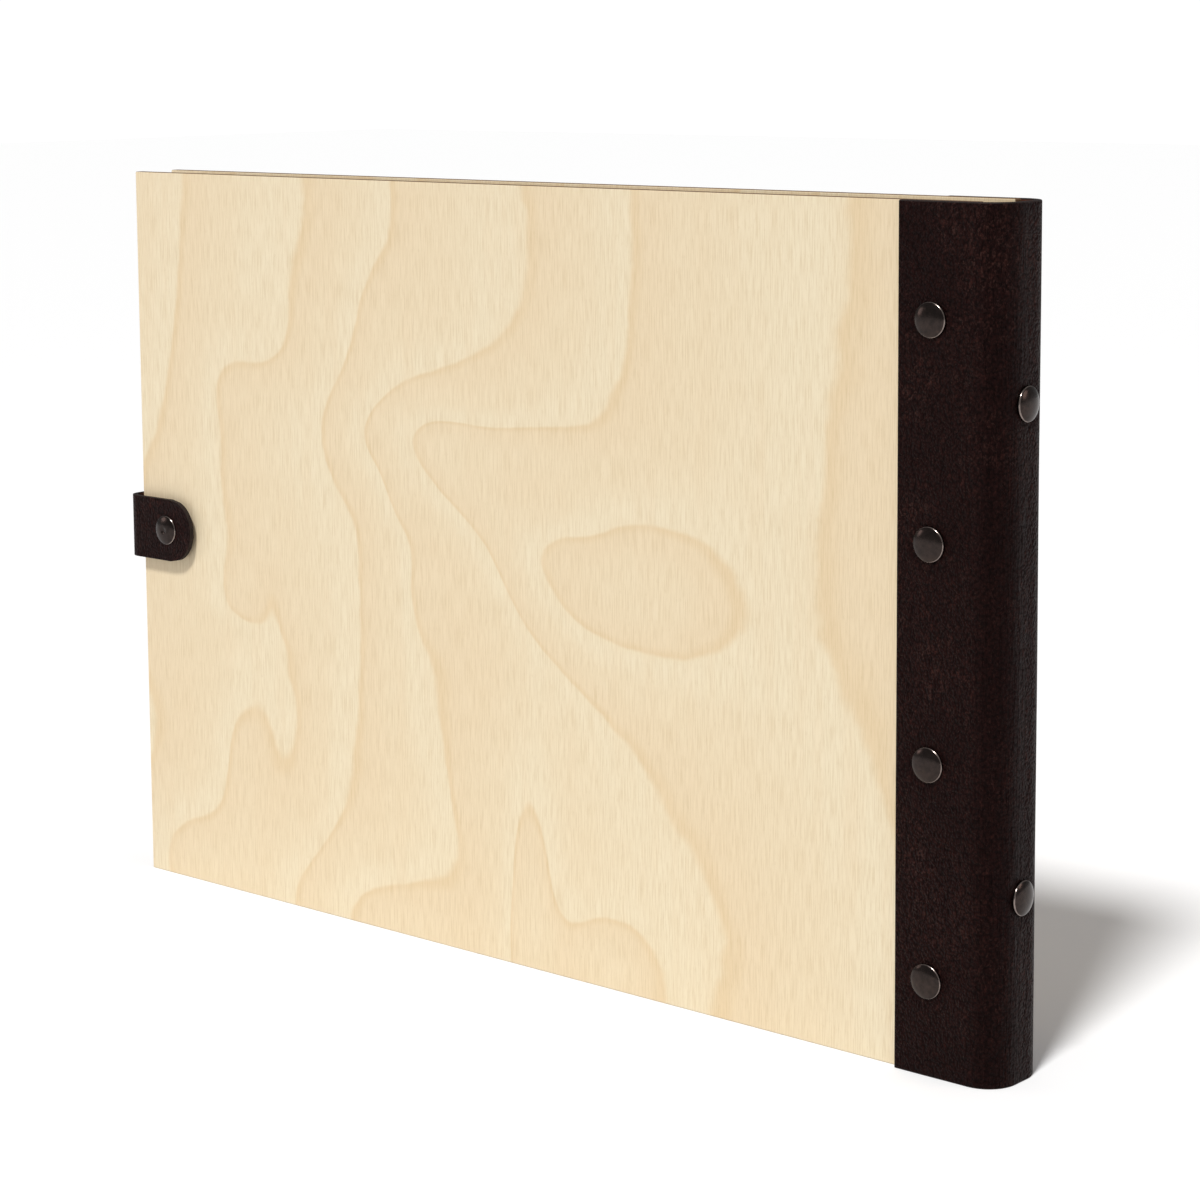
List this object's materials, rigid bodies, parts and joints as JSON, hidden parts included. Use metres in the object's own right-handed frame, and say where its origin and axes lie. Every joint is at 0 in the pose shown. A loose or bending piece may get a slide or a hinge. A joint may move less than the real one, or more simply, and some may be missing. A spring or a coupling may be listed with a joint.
{
  "type": "guest book",
  "caption": "Landscape ring-bound guest book with plywood covers, a riveted leather spine and a leather strap that snaps shut round the fore-edge.",
  "frame": {"origin": "middle of the base on which the closed book stands", "axes": "+X from the fore-edge towards the spine, -Y out of the front cover, +Z towards the head of the book"},
  "size_m": [0.3376, 0.0269, 0.23],
  "materials": {
    "birch_plywood": "sanded pale birch plywood, clear matt",
    "brown_leather": "pebbled dark brown leather, soft sheen",
    "dark_bronze": "blackened antique bronze, satin",
    "ring_steel": "nickel-plated steel",
    "paper": "uncoated ivory card"
  },
  "bodies": {
    "spine": {"leather_spine_strip": "brown_leather", "spine_rivet_caps": "dark_bronze", "spine_rivet_posts": "dark_bronze", "ring_plate": "ring_steel"},
    "front_cover": {"front_board": "birch_plywood", "leather_front_flap": "brown_leather", "front_rivet_caps": "dark_bronze", "front_rivet_backs": "dark_bronze", "snap_stud": "dark_bronze", "snap_stud_back": "dark_bronze"},
    "back_cover": {"back_board": "birch_plywood", "leather_back_flap": "brown_leather", "back_rivet_caps": "dark_bronze", "back_rivet_backs": "dark_bronze", "strap_back": "brown_leather", "strap_rivet_cap": "dark_bronze", "strap_rivet_back": "dark_bronze"},
    "ring_front": {"half_rings_front": "ring_steel", "ring_blade_front": "ring_steel"},
    "ring_back": {"half_rings_back": "ring_steel", "ring_blade_back": "ring_steel"},
    "front_leaves_outer": {"front_leaves_outer": "paper"},
    "front_leaves_inner": {"front_leaves_inner": "paper"},
    "back_leaves_outer": {"back_leaves_outer": "paper"},
    "back_leaves_inner": {"back_leaves_inner": "paper"},
    "strap_side": {"strap_side": "brown_leather"},
    "strap_tab": {"strap_tab": "brown_leather", "snap_cap": "dark_bronze", "snap_socket": "dark_bronze"}
  },
  "joints": [
    {"name": "front_cover_hinge", "type": "hinge", "parent": "spine", "child": "front_cover", "pos_m": [0.15835, -0.0111, 0.115], "axis": [0, 0, 1], "range_deg": [0, 90]},
    {"name": "back_cover_hinge", "type": "hinge", "parent": "spine", "child": "back_cover", "pos_m": [0.15835, 0.0111, 0.115], "axis": [0, 0, -1], "range_deg": [0, 90]},
    {"name": "front_leaves_outer_turn", "type": "hinge", "parent": "spine", "child": "front_leaves_outer", "pos_m": [0.1488, 0, 0.115], "axis": [0, 0, 1], "range_deg": [0, 90]},
    {"name": "front_leaves_inner_turn", "type": "hinge", "parent": "spine", "child": "front_leaves_inner", "pos_m": [0.1488, 0, 0.115], "axis": [0, 0, 1], "range_deg": [0, 90]},
    {"name": "back_leaves_outer_turn", "type": "hinge", "parent": "spine", "child": "back_leaves_outer", "pos_m": [0.1488, 0, 0.115], "axis": [0, 0, -1], "range_deg": [0, 90]},
    {"name": "back_leaves_inner_turn", "type": "hinge", "parent": "spine", "child": "back_leaves_inner", "pos_m": [0.1488, 0, 0.115], "axis": [0, 0, -1], "range_deg": [0, 90]},
    {"name": "ring_front_swing", "type": "hinge", "parent": "spine", "child": "ring_front", "pos_m": [0.16325, -0.0064, 0.114], "axis": [0, 0, 1], "range_deg": [0, 3.6]},
    {"name": "ring_back_swing", "type": "hinge", "parent": "spine", "child": "ring_back", "pos_m": [0.16325, 0.0064, 0.114], "axis": [0, 0, -1], "range_deg": [0, 3.6]},
    {"name": "strap_side_fold", "type": "hinge", "parent": "back_cover", "child": "strap_side", "pos_m": [-0.16795, 0.00989, 0.115], "axis": [0, 0, -1], "range_deg": [0, 90]},
    {"name": "strap_tab_fold", "type": "hinge", "parent": "strap_side", "child": "strap_tab", "pos_m": [-0.16795, -0.01149, 0.115], "axis": [0, 0, -1], "range_deg": [0, 90]}
  ],
  "couplings": [
    {"joint": "front_leaves_outer_turn", "follows": "front_cover_hinge", "ratio": 0.99},
    {"joint": "front_leaves_inner_turn", "follows": "front_cover_hinge", "ratio": 0.98},
    {"joint": "back_leaves_outer_turn", "follows": "back_cover_hinge", "ratio": 0.99},
    {"joint": "back_leaves_inner_turn", "follows": "back_cover_hinge", "ratio": 0.98},
    {"joint": "ring_back_swing", "follows": "ring_front_swing", "ratio": 1}
  ]
}
